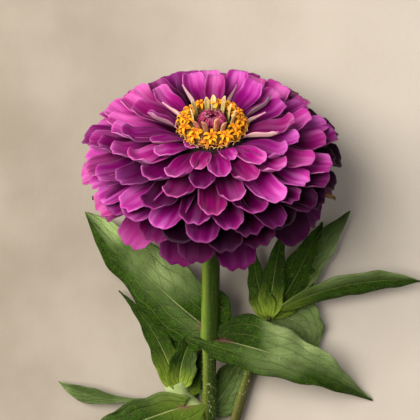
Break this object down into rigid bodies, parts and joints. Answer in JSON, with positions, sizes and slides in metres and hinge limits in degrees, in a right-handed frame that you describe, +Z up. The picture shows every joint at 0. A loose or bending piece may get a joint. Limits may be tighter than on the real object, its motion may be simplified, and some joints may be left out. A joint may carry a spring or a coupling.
{
  "type": "cut zinnia flower",
  "caption": "Double flower head: a deep dome of overlapping spoon-shaped rays round an eye, upright bracts and open florets, on a leafy branched cut stem lying flat.",
  "frame": {"origin": "on the surface the flower lies on, under the middle of its outline", "axes": "+Z up from that surface; +Y along the stem from its cut end to the bloom; +X to the right as seen from above with the bloom at the top"},
  "size_m": [0.1562, 0.2024, 0.0866],
  "materials": {
    "petal": "soft satin petal, magenta-purple with a paler rim",
    "floret": "velvety yellow-orange",
    "bract": "thin pale papery cream",
    "eye": "dull maroon buds",
    "leaf": "matte green leaf and finely hairy green stem"
  },
  "bodies": {
    "root": {"ray_petals": "petal", "disc_florets": "floret", "disc_bracts": "bract", "disc_eye": "eye", "leafy_stem": "leaf"}
  },
  "joints": []
}
